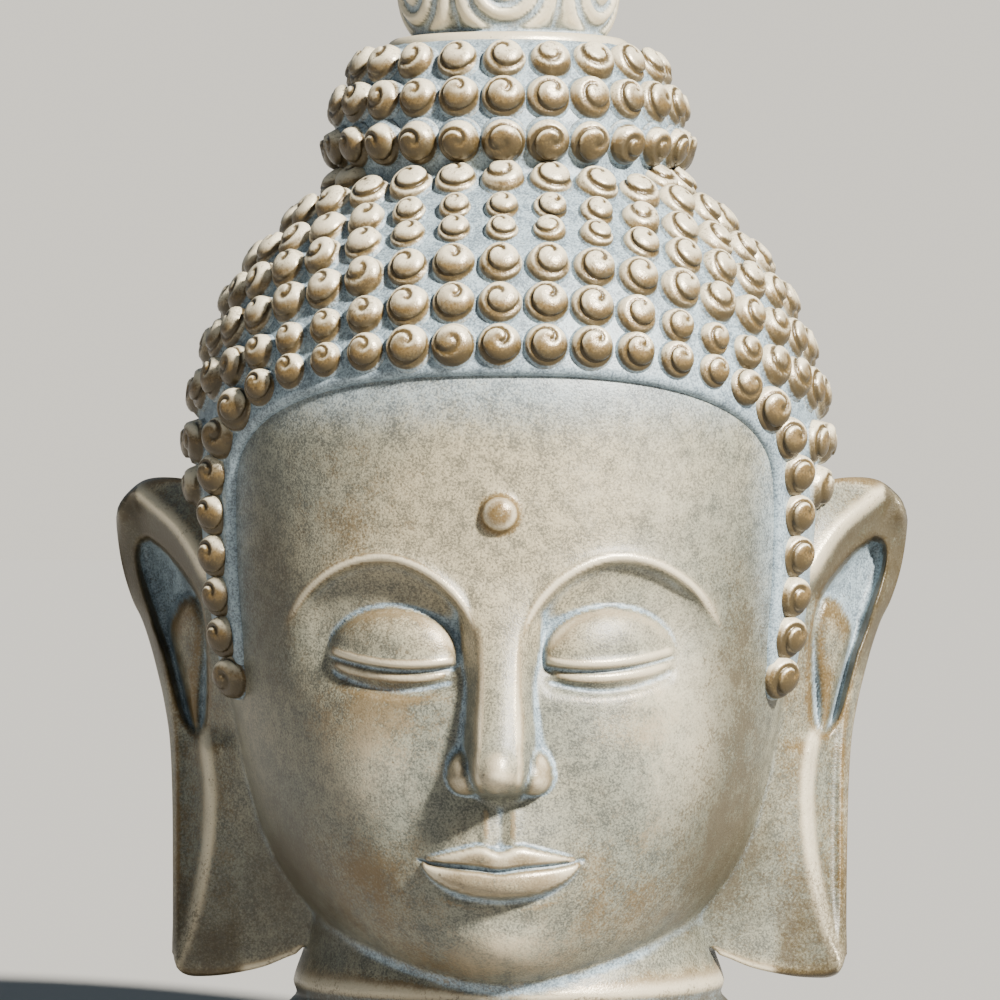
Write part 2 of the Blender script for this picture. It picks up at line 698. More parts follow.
def neck_piece():
    """The neck, from inside the head down to the foot ring and its flat underside."""
    levels = np.r_[NECK_TOP, graded(NECK_TOP, 0, lambda z: np.where(z < 80, 2, 6)), 0]
    neck, column, row = new_ball("neck", NECK_SIDES, len(levels) - 1)
    z = levels[row]
    angle = column * 2 * math.pi / NECK_SIDES
    radius = np.where((row == 0) | (row == row.max()), 0, neck_radius(z))
    y = NECK_BACK - NECK_FLATNESS * radius * np.cos(angle)
    put_points(neck, np.stack([radius * np.sin(angle), y, z], -1))
    return neck


# ---------- ears ----------
EAR_BOTTOM_END = 175.6
ear_outer = curve([
    (48, 172), (58, 175.5), (80, 175.7), (104, 176), (144, 177), (174, 179), (194, 182.5), (208, 186),
    (222, 190), (236, 195), (246, 200), (261, 205), (278, 208.2), (292, 209.1), (302, 206.8),
])
ear_top = curve([(140, 300), (165, 309), (180, 311), (193, 309.5), (202, 303.5), (207.5, 296), (210, 284)])
ear_bottom = curve([
    (90, 78), (106, 66), (114, 62.5), (127, 57), (146, 52.5), (160, 51), (168, 51.5), (173, 55),
    (EAR_BOTTOM_END, 63),
])
ear_root = curve([(50, 88), (75, 90), (100, 100), (130, 114), (170, 126), (215, 138), (310, 140)])
ear_root_depth = curve([(50, 24), (100, 28), (150, 28), (215, 26), (312, 22)])
ear_rim_depth = curve([(50, -6), (100, -12), (150, -22), (200, -34), (250, -45), (312, -50)])
EAR_HOLLOW = smooth_line([
    (191, 280), (197, 275.5), (197, 263), (192, 247), (187.5, 232), (182, 218), (177.5, 202), (173.5, 188),
    (167, 178), (160, 178.5), (157, 192), (156.5, 220), (158.5, 240), (163, 252), (171, 263), (181, 273.5),
    (191, 280),
])
EAR_LEAF = smooth_line([
    (163, 250), (172, 247), (180, 233), (177.5, 218), (173, 202), (169.5, 188), (165, 172), (161, 158),
    (157.5, 150), (158, 166), (161, 184), (160.5, 202), (158, 220), (157.5, 236), (163, 250),
])
EAR_CREST = smooth_line([
    (207, 293), (203.5, 302.5), (196, 303.5), (185.5, 296.5), (173, 286), (163, 273), (155.7, 260),
    (148, 245),
])
LOBE_CREST = smooth_line([(159, 180), (156, 160), (155, 140), (157.5, 112), (164, 82), (173, 56)])
rim_width = curve([(50, 3), (120, 3.2), (180, 4.2), (230, 6), (280, 9), (312, 11)])
rim_rise = curve([(50, 1.5), (80, 2.5), (180, 4), (230, 4), (262, 2), (285, 0), (312, 0)])


def ear_relief(x, z):
    """How far the front of the ear stands out from its plain plate."""
    border = -soft_max(x - ear_outer(z), z - ear_top(x), 6)
    h = rim_rise(z) * bell(border - rim_width(z), rim_width(z) * 0.95)
    crest, share = beside_line(x, z, EAR_CREST)
    fall = np.where(crest > 0, np.exp(-(abs(crest) / 12) ** 1.2), np.exp(-(abs(crest) / 10) ** 1.3))
    h = h + (12 * fall - 1.5) * ramp(1, 0.8, share) * ramp(235, 262, z)
    hollow, _ = beside_line(x, z, EAR_HOLLOW)
    h = h - 13 * (1 - np.exp(-np.maximum(hollow, 0) / 2.3))
    leaf, _ = beside_line(x, z, EAR_LEAF)
    leaf_rise = np.where(leaf > 0, -9 + 8.5 * (1 - np.exp(-np.maximum(leaf, 0) / 3.0)), -9 + 2.4 * leaf)
    h = soft_max(h, leaf_rise * ramp(150, 165, z) - 12 * ramp(165, 150, z), 1.2)
    lobe, share = beside_line(x, z, LOBE_CREST)
    slope = np.exp(-abs(lobe) / np.where(lobe > 0, 18, 4.5))
    return h + 7.5 * slope * ramp(0, 0.12, share) * ramp(190, 168, z)


EAR_COLUMNS = 52
EAR_ROWS = 116
EAR_SPAN = (110, 175)
EAR_EDGE_ROUNDING = 8
EAR_LIP_ROUNDING = 4
EAR_CARVING_DEPTH = 1.2


def quarter_round(share):
    """Rises from 0 to 1 as the quarter of a circle does."""
    return np.sqrt(1 - (1 - np.clip(share, 0, 1)) ** 2)


def ear_point(u, v, front, thickness):
    """Points of one side of an ear: u runs from its root to its rim, v from the lobe to the top."""
    x = mix(*EAR_SPAN, u)
    for _ in range(12):
        z = mix(ear_bottom(np.minimum(x, EAR_BOTTOM_END)), ear_top(x), v)
        x = mix(x, mix(ear_root(z), ear_outer(z), u), 0.6)
    depth = mix(ear_root_depth(z), ear_rim_depth(z), u)
    edge = np.minimum((1 - u) * (ear_outer(z) - ear_root(z)), ear_top(x) - z)
    edge = np.minimum(edge, z - ear_bottom(x))
    edge = np.where((u == 0) | (u == 1) | (v == 0) | (v == 1), 0, np.maximum(edge, 0.05))
    if front:
        lip = quarter_round(edge / EAR_LIP_ROUNDING) * np.minimum(1, u / 0.04)
        depth = depth + EAR_CARVING_DEPTH * ear_relief(x, z) * lip
    else:
        body = quarter_round(edge / EAR_EDGE_ROUNDING) * np.minimum(1, u / 0.08)
        depth = depth - thickness * body
    return np.stack([x, -depth, z], -1)


def new_sheet(name, u, v):
    """A sheet of points whose columns and rows stand at the places u and v."""
    bpy.ops.object.select_all(action="DESELECT")
    bpy.ops.mesh.primitive_grid_add(x_subdivisions=len(u) - 1, y_subdivisions=len(v) - 1, size=2)
    sheet = bpy.context.object
    sheet.name = sheet.data.name = name
    x, y, _ = take_points(sheet).T * MM
    column = np.rint((x + 1) / 2 * (len(u) - 1)).astype(int)
    row = np.rint((y + 1) / 2 * (len(v) - 1)).astype(int)
    return sheet, u[column], v[row]


def ear_piece(side, thickness):
    """A carved front and a plain back, welded along their edges."""
    across = 1 - (1 - np.linspace(0, 1, EAR_COLUMNS)) ** 1.25
    turn = np.linspace(0, 1, EAR_ROWS)
    upward = mix(turn, 0.5 - 0.5 * np.cos(math.pi * turn), 0.3)
    sheets = []
    for name, front in (("ear", True), ("ear_back", False)):
        sheet, u, v = new_sheet(name, across, upward)
        put_points(sheet, ear_point(u, v, front, thickness) * [side, 1, 1])
        sheets.append(sheet)
    ear = sheets[0]
    only(ear)
    sheets[1].select_set(True)
    bpy.ops.object.join()
    bpy.ops.object.mode_set(mode="EDIT")
    bpy.ops.mesh.select_all(action="SELECT")
    bpy.ops.mesh.remove_doubles(threshold=0.02 * MM)
    bpy.ops.mesh.normals_make_consistent(inside=False)
    bpy.ops.object.mode_set(mode="OBJECT")
    return ear


# ---------- wear: what the hand paint and the weather left where ----------
def store(obj, name, values):
    """Keeps a value from 0 to 1 on every point, for the material to read."""
    layer = obj.data.attributes.new(name, "FLOAT", "POINT")
    layer.data.foreach_set("value", np.clip(values, 0, 1).astype(np.float32))


def bulge(obj, turns):
    """How far each point stands out from the blurred surface, in millimetres."""
    points = take_points(obj)
    edges = take_edges(obj)
    apart = np.linalg.norm(points[edges[:, 0]] - points[edges[:, 1]], axis=1)
    blurred = spread(points, edges, 1 / np.maximum(apart, 0.05), turns)
    return np.sum((points - blurred) * take_normals(obj), axis=1)


def patches(points, places):
    """Soft round patches, each with its strength, its middle and how far it reaches each way."""
    total = 0
    for strength, middle, reach in places:
        total = total + strength * np.exp(-np.sum(((points - middle) / reach) ** 2, axis=1))
    return total


# ---------- materials ----------
def new_group(name, inputs, outputs):
    """An empty node group, with its input and output nodes."""
    group = bpy.data.node_groups.new(name, "ShaderNodeTree")
    for label, value in inputs:
        socket = group.interface.new_socket(label, in_out="INPUT", socket_type="NodeSocketFloat")
        socket.default_value = value
    for label in outputs:
        group.interface.new_socket(label, in_out="OUTPUT", socket_type="NodeSocketFloat")
    return group, group.nodes.new("NodeGroupInput"), group.nodes.new("NodeGroupOutput")


def place(tree, kind, settings=(), **values):
    """A node with its settings made, and its inputs given values or wired to other nodes' outputs.

    An input is called by its name, or i0, i1, i2 by its number.
    """
    node = tree.nodes.new(kind)
    for key, value in dict(settings).items():
        setattr(node, key, value)
    for key, value in values.items():
        numbered = key[0] == "i" and key[1:].isdigit()
        socket = node.inputs[int(key[1:]) if numbered else key]
        if isinstance(value, bpy.types.NodeSocket):
            tree.links.new(value, socket)
        else:
            socket.default_value = value
    return node


def maths(tree, operation, first, second):
    return place(tree, "ShaderNodeMath", {"operation": operation}, i0=first, i1=second).outputs[0]


def step_between(tree, value, low, high):
    """0 below low, 1 above high, and smooth between."""
    bounds = {"From Min": low, "From Max": high}
    node = place(tree, "ShaderNodeMapRange", {"interpolation_type": "SMOOTHSTEP"}, Value=value, **bounds)
    return node.outputs["Result"]


def noise(tree, scale, detail=3.0, roughness=0.6):
    where = place(tree, "ShaderNodeTexCoord").outputs["Object"]
    return place(tree, "ShaderNodeTexNoise", Vector=where, Scale=scale, Detail=detail,
                 Roughness=roughness).outputs["Fac"]


def grain_group():
    """Sandy speckle of the casting: a tone about one half, and a height."""
    group, given, made = new_group("cast_grain", [("Scale", 900.0)], ["Tone", "Height"])
    fine = noise(group, given.outputs["Scale"], 2.0, 0.7)
    blotch = noise(group, 120.0, 4.0, 0.65)
    tone = maths(group, "ADD", maths(group, "MULTIPLY", fine, 0.62), maths(group, "MULTIPLY", blotch, 0.38))
    group.links.new(tone, made.inputs["Tone"])
    group.links.new(fine, made.inputs["Height"])
    return group


def rub_group():
    """Paint rubbed off or on: a mask broken up by uneven and by sandy noise."""
    inputs = [("Mask", 0.0), ("Softness", 0.25), ("Break", 0.5)]
    group, given, made = new_group("uneven_rub", inputs, ["Mask"])
    uneven = maths(group, "SUBTRACT", noise(group, 55.0, 5.0, 0.7), 0.5)
    sandy = maths(group, "SUBTRACT", noise(group, 700.0, 2.0, 0.6), 0.5)
    shake = maths(group, "ADD", uneven, maths(group, "MULTIPLY", sandy, 0.8))
    shaken = maths(group, "MULTIPLY", shake, given.outputs["Break"])
    moved = maths(group, "ADD", given.outputs["Mask"], shaken)
    low = maths(group, "SUBTRACT", 0.5, given.outputs["Softness"])
    high = maths(group, "ADD", 0.5, given.outputs["Softness"])
    group.links.new(step_between(group, moved, low, high), made.inputs["Mask"])
    return group


def freckle_group():
    """Fine brown freckles that crowd together as the amount grows."""
    group, given, made = new_group("freckles", [("Amount", 0.3), ("Scale", 620.0)], ["Mask"])
    spots = noise(group, given.outputs["Scale"], 4.0, 0.75)
    crowd = noise(group, 70.0, 3.0, 0.6)
    amount = maths(group, "MULTIPLY", given.outputs["Amount"], maths(group, "MULTIPLY", crowd, 2.0))
    edge = maths(group, "SUBTRACT", 0.74, maths(group, "MULTIPLY", amount, 0.3))
    group.links.new(step_between(group, spots, edge, maths(group, "ADD", edge, 0.1)), made.inputs["Mask"])
    return group


def pit_group():
    """Scattered air holes of the casting."""
    group, given, made = new_group("air_holes", [("Scale", 130.0), ("Share", 0.1)], ["Mask"])
    where = place(group, "ShaderNodeTexCoord").outputs["Object"]
    scale = given.outputs["Scale"]
    cells = place(group, "ShaderNodeTexVoronoi", {"feature": "F1"}, Vector=where, Scale=scale)
    chance = place(group, "ShaderNodeSeparateColor", Color=cells.outputs["Color"])
    chosen = maths(group, "LESS_THAN", chance.outputs["Red"], given.outputs["Share"])
    size = maths(group, "MULTIPLY", chance.outputs["Green"], 0.13)
    hole = maths(group, "LESS_THAN", cells.outputs["Distance"], size)
    group.links.new(maths(group, "MULTIPLY", chosen, hole), made.inputs["Mask"])
    return group


def blend(tree, mode, share, below, above):
    """Two colours mixed; a colour mix node has its colours at inputs 6 and 7 and its result at output 2."""
    settings = {"data_type": "RGBA", "blend_type": mode}
    return place(tree, "ShaderNodeMix", settings, i0=share, i6=below, i7=above).outputs[2]


def shared_group(name, build):
    return bpy.data.node_groups.get(name) or build()


DARK_GRAIN = (0.44, 0.45, 0.47, 1)
LIGHT_GRAIN = (1.40, 1.37, 1.32, 1)
BRONZE_SHARE = 0.85
CREAM_SHARE = 0.75
STAIN_SHARE = 0.78
DIRT_SHARE = 0.6
GRAIN_HEIGHT = 0.6


def stone_finish(name, speckle=0.3):
    """Cast stone with sandy flats and slate hollows, bronze and cream rubbed on, stained and freckled."""
    paint = bpy.context.scene.head_colours
    material = bpy.data.materials.new(name)
    material.use_nodes = True
    tree = material.node_tree
    shader = tree.nodes["Principled BSDF"]

    def layer(attribute):
        return place(tree, "ShaderNodeAttribute", {"attribute_name": attribute}).outputs["Fac"]

    def group(build, name, **values):
        return place(tree, "ShaderNodeGroup", {"node_tree": shared_group(name, build)}, **values).outputs

    def rubbed_mask(attribute, softness, broken):
        return group(rub_group, "uneven_rub", Mask=layer(attribute), Softness=softness, Break=broken)["Mask"]

    def lay_over(below, mask, share, tint):
        return blend(tree, "MIX", maths(tree, "MULTIPLY", mask, share), below, (*tint, 1))

    grain = group(grain_group, "cast_grain")
    broad = maths(tree, "SUBTRACT", noise(tree, 14.0, 4.0, 0.6), 0.5)
    warm = maths(tree, "ADD", layer("warm"), maths(tree, "MULTIPLY", broad, 1.3))
    colour = blend(tree, "MIX", step_between(tree, warm, 0.1, 0.9), (*paint.stone, 1), (*paint.sand, 1))
    colour = lay_over(colour, rubbed_mask("hollow", 0.45, 0.5), 1.0, paint.slate)
    tone = step_between(tree, grain["Tone"], 0.38, 0.62)
    colour = blend(tree, "MULTIPLY", 1.0, colour, blend(tree, "MIX", tone, DARK_GRAIN, LIGHT_GRAIN))
    gilded = rubbed_mask("gilt", 0.35, 1.3)
    colour = lay_over(colour, gilded, BRONZE_SHARE, paint.bronze)
    colour = lay_over(colour, rubbed_mask("crest", 0.4, 0.6), CREAM_SHARE, paint.cream)
    colour = lay_over(colour, rubbed_mask("stain", 0.6, 0.8), STAIN_SHARE, paint.olive)
    amount = maths(tree, "ADD", layer("stain"), speckle)
    freckles = group(freckle_group, "freckles", Amount=amount)["Mask"]
    colour = lay_over(colour, freckles, DIRT_SHARE, paint.umber)
    pits = group(pit_group, "air_holes")["Mask"]
    colour = lay_over(colour, pits, DIRT_SHARE, paint.umber)
    tree.links.new(colour, shader.inputs["Base Color"])
    rough = maths(tree, "ADD", maths(tree, "MULTIPLY", grain["Tone"], 0.3), 0.28)
    rough = maths(tree, "SUBTRACT", rough, maths(tree, "MULTIPLY", gilded, 0.1))
    tree.links.new(rough, shader.inputs["Roughness"])
    tree.links.new(maths(tree, "MULTIPLY", gilded, 0.25), shader.inputs["Metallic"])
    height = maths(tree, "SUBTRACT", grain["Height"], maths(tree, "MULTIPLY", pits, 1.5))
    bump = place(tree, "ShaderNodeBump", Height=height, Strength=0.35, Distance=GRAIN_HEIGHT * MM)
    tree.links.new(bump.outputs["Normal"], shader.inputs["Normal"])
    return material


# ---------- the head ----------
# Patches of paint and stain: strength, middle and reach each way.
POLISHED = [
    (0.42, (92, -110, 190), (44, 70, 70)), (0.3, (70, -130, 310), (60, 70, 40)),
    (0.4, (0, -150, 70), (44, 60, 26)), (0.25, (0, -190, 190), (14, 30, 60)),
    (0.35, (-62, -120, 165), (34, 60, 40)),
]
GILDED = [
    (0.55, (-64, -130, 190), (36, 60, 26)), (0.6, (-70, -110, 108), (40, 80, 34)),
    (0.45, (64, -120, 100), (44, 80, 36)), (0.5, (0, -150, 62), (40, 50, 16)),
    (0.4, (-40, -130, 62), (30, 60, 18)), (0.4, (70, -120, 185), (26, 60, 20)),
    (0.3, (-70, -120, 290), (40, 60, 50)),
]
STAINED = [
    (1, (116, -70, 112), (38, 80, 50)), (1, (-116, -70, 100), (38, 80, 52)),
    (0.7, (-116, -80, 250), (22, 60, 60)), (0.7, (116, -80, 215), (24, 60, 70)),
]
WARMED = [(0.8, (0, -150, 285), (75, 90, 60))]
SEAM_TURNS = 12


def paint_head(head):
    """Bronze and cream on what stands out, slate in the hollows, stain on the cheeks, ears and neck."""
    points = take_points(head)
    x, y, z = points.T
    side = abs(x)
    fine = bulge(head, 8)
    wide = bulge(head, 60)
    ear = ramp(134, 144, side) * ramp(330, 300, z) * ramp(-100, -60, y)
    skin = 1 - ear
    faces_front = ramp(0.3, -0.3, take_normals(head)[:, 1])
    crest, _ = beside_line(side, z, EAR_CREST)
    lobe, _ = beside_line(side, z, LOBE_CREST)
    ear_crests = (bell(crest, 4.5) * ramp(250, 262, z) + bell(lobe, 4) * ramp(186, 174, z)) * faces_front
    ear_floor = ramp(-4, -8, ear_relief(side, z)) * faces_front
    dot = ramp(14, 9, np.hypot(x, z - DOT_LEVEL)) * ramp(-100, -120, y)

    raised = 0.55 * ramp(0.12, 0.6, fine) + 0.3 * ramp(0.5, 3, wide)
    store(head, "crest", skin * (raised + patches(points, POLISHED)) + 0.9 * ear * ear_crests)

    raised = 0.85 * ramp(0.06, 0.5, fine) + 0.3 * ramp(0.6, 3, wide)
    on_face = (raised + 0.7 * dot + patches(points, GILDED)) * ramp(25, 60, z)
    on_ears = 0.3 + 0.4 * ramp(0.1, 0.6, fine) + 0.3 * ear_crests - 0.5 * ear_floor
    store(head, "gilt", skin * on_face + ear * on_ears)

    near_hair = ramp(322, 356, z) + ramp(118, 138, side) * ramp(200, 240, z)
    sunk = ramp(-0.12, -1.0, fine) + ramp(-1.0, -4.5, wide)
    on_face = sunk + 0.5 * near_hair + 0.45 * ramp(58, 44, z) + 0.08
    on_ears = 0.9 * ear_floor + 0.25 * ramp(6, 20, crest)
    store(head, "hollow", skin * on_face + ear * on_ears)

    store(head, "warm", patches(points, WARMED) + 0.5 * ramp(0.2, 2.5, wide) + 0.3)

    band = ramp(-3, -7, crest) * ramp(240, 262, z) + ramp(190, 230, z) * ramp(12, 9, ear_outer(z) - side)
    on_ears = 0.22 + 0.5 * ramp(130, 60, z) + 0.8 * (1 - ear_floor) * band
    store(head, "stain", skin * patches(points, STAINED) + ear * on_ears + 1.2 * ramp(54, 38, z))


class HEAD_OT_face(bpy.types.Operator):
    """Model the head with its face, neck, ears and forehead dot"""

    bl_idname = "buddha_head.face"
    bl_label = "Head and Ears"
    bl_options = {"REGISTER", "UNDO"}

    def execute(self, context):
        sizes = context.scene.head_sizes
        head = egg_piece()
        ears = [ear_piece(side, sizes.ear_thickness / MM) for side in (1, -1)]
        others = [neck_piece(), *ears, dot_piece()]
        for number, piece in enumerate([head] + others):
            mark_part(piece, number)
        unite(head, others)
        soften_seams(head, sizes.seam_reach / MM, SEAM_TURNS)
        paint_head(head)
        finish_piece(head, stone_finish("weathered_face"))
        return {"FINISHED"}


# ---------- the hair ----------
LIP_ROWS = [6.5, 5.2, 4.2, 3.2, 2.3, 1.5, 0.8, 0.3, 0.05, 0]
SCALP_ROWS = 51
CROWN_REACH = 8
EDGE_DEPTH = 9
SCALP_CORE = np.array([0, 10, 270])
SCALP_FOOT = np.zeros(3)
SCALP_SLATE = 0.85


def hair_sheet(lip_radius):
    """The scalp, from the crown to its rounded edge, then unseen down to the foot and closed at its core."""
    edge, inward = hair_edge()
    columns = len(edge)
    even = np.arange(columns) * 2 * math.pi / columns
    crown = np.stack([even, np.full(columns, CROWN_REACH)], -1)
    rings = [np.tile([0, 0, SCALP_LEVEL[0]], (columns, 1))]
    for share in np.linspace(0, 1, SCALP_ROWS + 1)[1:]:
        rings.append(scalp_point(*mix(crown, edge + inward * LIP_ROWS[0], share).T))
    for inset in LIP_ROWS[1:]:
        flat = (edge + inward * inset).T
        left = max(lip_radius - inset, 0)
        sink = lip_radius - math.sqrt(max(lip_radius ** 2 - left ** 2, 0))
        rings.append(scalp_point(*flat) - scalp_frame(*flat)[2] * sink)
    below = scalp_point(*edge.T) - scalp_frame(*edge.T)[2] * EDGE_DEPTH
    rings += [below, mix(below, SCALP_CORE, 0.5)]
    rings += [np.tile(end, (columns, 1)) for end in (SCALP_FOOT, SCALP_CORE)]
    scalp, column, row = new_ball("scalp", columns, len(rings) - 1)
    put_points(scalp, np.array(rings)[row, column])
    return scalp


COIL_START = 0.1
COIL_PITCH = 0.86
RIM_SHARE = 1.25
TURNED_FORWARD = 0.55
SAME_HAND = 0.82
CURL_FOOT = (0, 0, -2.5)
CURL_SEED = 11
# Columns and rows of the mesh of one curl.
FRONT_MESH = (28, 18)
BACK_MESH = (16, 9)


def curl_points(s, turn, coil_turn, radius, rise, lift, depth):
    """Points of a snail curl, and how far each stands out of or is sunk into its ball.

    s runs from the top (0) over the rim (1) into the scalp, and turn runs round it.
    """
    polar = np.minimum(s, 1) * math.pi / 2
    wide = np.sin(polar) ** 0.82 + 0.24 * ramp(0.82, RIM_SHARE, s)
    high = np.cos(polar) ** 0.72 + 0.13 * ramp(0.7, 0.95, s) - 1.5 * np.maximum(s - 1, 0)
    wrapped = (s - COIL_START) / COIL_PITCH - coil_turn / (2 * math.pi)
    share = wrapped - np.floor(wrapped)
    beside = np.minimum(share, 1 - share) * COIL_PITCH
    coils = ramp(0.02, 0.14, s) * ramp(1, 0.9, s)
    push = coils * (0.35 * np.sin(math.pi * share) - depth * bell(beside, 0.09))
    out = np.stack([np.sin(polar) * np.sin(turn), np.sin(polar) * np.cos(turn), np.cos(polar)], -1)
    shift = (1 - np.clip(s, 0, 1)) ** 1.2
    across = radius * wide * np.sin(turn) + shift * lift[0]
    upward = radius * wide * np.cos(turn) + shift * lift[1]
    return np.stack([across, upward, rise * high], -1) + push[:, None] * out, push


def curls_piece(name, chosen, columns, rows, sizes, draw):
    """The chosen curls, each a copy of one ball with its own coil."""
    largest = sizes.curl_radius / MM
    angle, down, radius, middle, lines_edge = (values[chosen] for values in curl_places(largest))
    outward = scalp_frame(angle, down)[2]
    forward = TURNED_FORWARD * lines_edge * ramp(math.radians(35), math.radians(62), abs(angle))
    outward = unit(outward + forward[:, None] * [0, -1, 0])
    sideways = unit(np.cross(outward, [0, 0, -1]))
    downwards = np.cross(sideways, outward)
    ball, column, row = new_ball(name, columns, rows)
    s = np.linspace(0, RIM_SHARE, rows)[np.minimum(row, rows - 1)]
    turn = -column * 2 * math.pi / columns
    copies = []
    for i in range(len(angle)):
        size = radius[i] * draw.uniform(0.93, 1)
        start = draw.normal(1.6, 0.7)
        hand = -1 if draw.uniform() < SAME_HAND else 1
        lift = (draw.uniform(-0.8, 1.2) + 1.5 * math.sin(angle[i]), draw.uniform(1.4, 3.2))
        depth = draw.uniform(1.1, 1.7) * size / largest
        coil_turn = (hand * (turn - start)) % (2 * math.pi)
        rise = sizes.curl_rise / MM * min(1, size / largest) * draw.uniform(0.98, 1.08)
        local, push = curl_points(s, turn, coil_turn, size, rise, lift, depth)
        local[row == rows] = CURL_FOOT
        points = (middle[i] + local[:, :1] * sideways[i] - local[:, 1:2] * downwards[i]
                  + local[:, 2:] * outward[i])
        curl = ball.copy()
        curl.data = ball.data.copy()
        bpy.context.collection.objects.link(curl)
        put_points(curl, points)
        store(curl, "height", local[:, 2] / rise)
        store(curl, "groove", -push)
        copies.append(curl)
    bpy.data.objects.remove(ball)
    only(copies[0])
    for curl in copies:
        curl.select_set(True)
    bpy.ops.object.join()
    curls = bpy.context.object
    curls.name = curls.data.name = name
    return curls


def read_layer(obj, name):
    values = np.empty(len(obj.data.vertices), np.float32)
    obj.data.attributes[name].data.foreach_get("value", values)
    return values


def paint_curls(curls):
    """Bronze brushed on from below, cream where the tops catch the weather, slate at the foot."""
    fine = bulge(curls, 5)
    up = take_normals(curls)[:, 2]
    height, groove = read_layer(curls, "height"), read_layer(curls, "groove")
    ball = ramp(0.1, 0.3, height)
    store(curls, "gilt", ball * (0.5 + 0.6 * ramp(0.6, -0.2, up)) + 0.25 * groove * ball)
    store(curls, "crest", ball * ramp(-0.1, 0.7, up) * 0.8 + 0.35 * ramp(0.12, 0.5, fine) - 0.9 * groove)
    store(curls, "hollow", ramp(0.24, 0.06, height) + 0.5 * groove * ramp(0.0, 0.5, up))
    store(curls, "warm", ball)
    store(curls, "stain", 0.55 * groove + 0.95 * ball * ramp(0.15, -0.5, up))


class HEAD_OT_hair(bpy.types.Operator):
    """Model the scalp and its snail curls"""

    bl_idname = "buddha_head.hair"
    bl_label = "Hair"
    bl_options = {"REGISTER", "UNDO"}

    def execute(self, context):
        sizes = context.scene.head_sizes
        scalp = hair_sheet(sizes.lip_radius / MM)
        store(scalp, "hollow", np.full(len(scalp.data.vertices), SCALP_SLATE))
        finish_piece(scalp, stone_finish("weathered_scalp"))
        draw = np.random.default_rng(CURL_SEED)
        angle = curl_places(sizes.curl_radius / MM)[0]
        front = abs(angle) < math.radians(FRONT_REACH)
        finish = stone_finish("weathered_curls", speckle=0.6)
        for name, chosen, mesh in (("front_curls", front, FRONT_MESH), ("back_curls", ~front, BACK_MESH)):
            curls = curls_piece(name, chosen, *mesh, sizes, draw)
            paint_curls(curls)
            finish_piece(curls, finish)
        return {"FINISHED"}


# ---------- the bud ----------
PETALS = 6
PETAL_MIDDLE = 561
PETALS_FADE_FROM = 590
BUD_SIDES = 216
BUD_ROW_STEP = 1.1
PLATE_BOTTOM = PLATE_TOP - 14
bud_radius = curve([
    (538, 47), (545, 51), (556, 54), (568, 54.5), (580, 51), (592, 43), (602, 31), (610, 17), (614, 8),
])
petal_rings = curve([(0, 5), (5, 4.5), (9, 1.5), (14, 4.5), (19, 1.8), (24, 3.4), (29, 0), (36, -4)])
PLATE_PROFILE = smooth_line([
    (52, PLATE_TOP), (60, PLATE_TOP - 0.6), (63, PLATE_TOP - 4), (62.5, PLATE_TOP - 9), (56, PLATE_BOTTOM),
], 3)


def bud_piece():
    """Petals of three rings each round the bud, and the plate below it."""
    angle = np.arange(BUD_SIDES) * 2 * math.pi / BUD_SIDES
    slice_width = 2 * math.pi / PETALS
    beside = (angle + slice_width / 2) % slice_width - slice_width / 2
    reaches = [(0, CAD_TOP)]
    for z in graded(CAD_TOP - 1.5, PLATE_TOP + 1, lambda z: BUD_ROW_STEP):
        radius = bud_radius(z)
        away = np.hypot(beside * radius, z - PETAL_MIDDLE)
        reaches.append((radius + petal_rings(away) * ramp(CAD_TOP, PETALS_FADE_FROM, z), z))
    reaches += [*PLATE_PROFILE, (0, PLATE_BOTTOM)]
    east, south, level = np.sin(angle), -np.cos(angle), np.ones(BUD_SIDES)
    rings = [np.stack([reach * east, reach * south, z * level], -1) for reach, z in reaches]
    bud, column, row = new_ball("topknot_bud", BUD_SIDES, len(rings) - 1)
    put_points(bud, np.array(rings)[row, column])
    return bud


class HEAD_OT_bud(bpy.types.Operator):
    """Model the bud on its plate at the top"""

    bl_idname = "buddha_head.bud"
    bl_label = "Topknot Bud"
    bl_options = {"REGISTER", "UNDO"}

    def execute(self, context):
        bud = bud_piece()
        fine, wide = bulge(bud, 8), bulge(bud, 40)
        store(bud, "gilt", ramp(0.02, 0.5, fine) * 0.6 + 0.3 * ramp(0.1, 1.5, wide))
        store(bud, "crest", 0.25 + ramp(-0.05, 0.3, fine))
        store(bud, "hollow", ramp(-0.05, -0.5, fine) + 0.1)
        store(bud, "warm", ramp(0, 1, wide))
        finish_piece(bud, stone_finish("weathered_bud"))
        return {"FINISHED"}


# ---------- the studio ----------
KEY_SHINES = (-0.55, 0.64, -0.58)
KEY_SPREAD = math.radians(6)
FLOOR_RADIUS = 25
CAMERA_AZIMUTH = math.radians(1.7)
CAMERA_AWAY = 2.9
CAMERA_AIM = (-0.0044, 0, 0.299)
LENS = 200.9
SENSOR_WIDTH = 36


